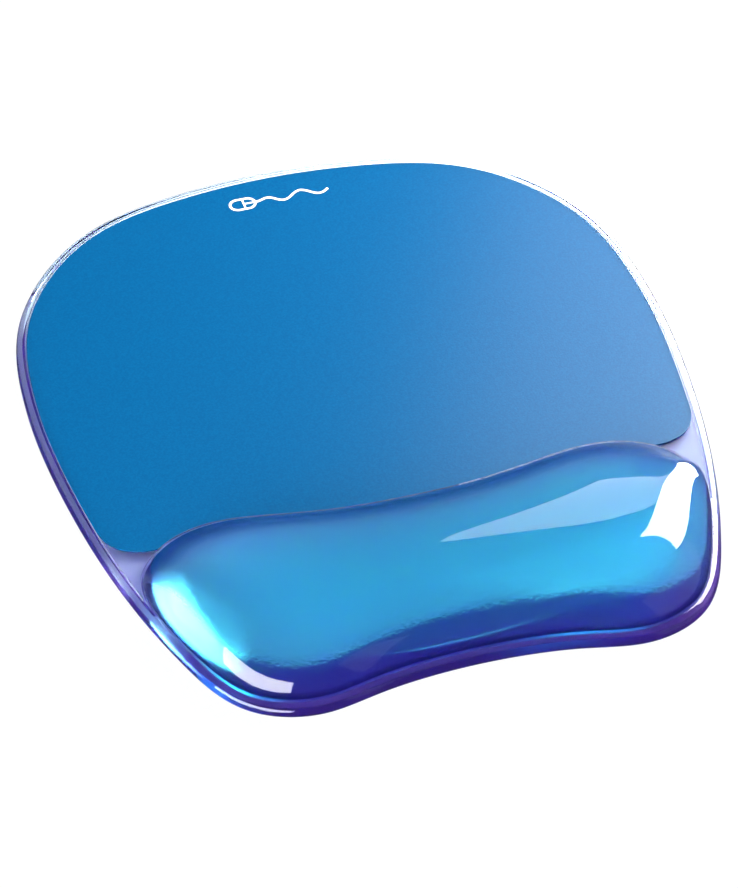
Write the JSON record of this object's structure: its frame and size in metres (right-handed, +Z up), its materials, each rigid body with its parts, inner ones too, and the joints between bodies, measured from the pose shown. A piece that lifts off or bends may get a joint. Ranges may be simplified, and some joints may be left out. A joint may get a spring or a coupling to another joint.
{
  "type": "mouse pad with gel wrist rest",
  "caption": "Clear-rimmed blue mouse pad with a smooth mousing film and a soft translucent gel wrist rest along its front edge.",
  "frame": {"origin": "centre of the footprint's bounding rectangle, on the surface that the pad lies on", "axes": "+X to the user's right, +Y away from the user towards the back of the pad, +Z up out of the mousing surface"},
  "size_m": [0.2016, 0.2351, 0.021],
  "materials": {
    "non_skid_rubber": "translucent, fine matt grip texture",
    "clear_polyurethane": "clear, faintly violet, glossy",
    "clear_adhesive": "clear pressure-sensitive adhesive",
    "blue_film": "blue print under a fine micro-textured coat",
    "white_ink": "white screen-print ink",
    "clear_backing_film": "clear, smooth",
    "blue_gel": "blue-tinted clear polymer gel",
    "clear_skin": "glossy clear film with a faint blue-violet tint"
  },
  "bodies": {
    "root": {"non_skid_backing": "non_skid_rubber", "base_pad": "clear_polyurethane", "surface_adhesive": "clear_adhesive", "mousing_surface": "blue_film", "surface_print": "white_ink", "gel_backing_film": "clear_backing_film", "wrist_gel": "blue_gel", "wrist_skin": "clear_skin"}
  },
  "joints": []
}
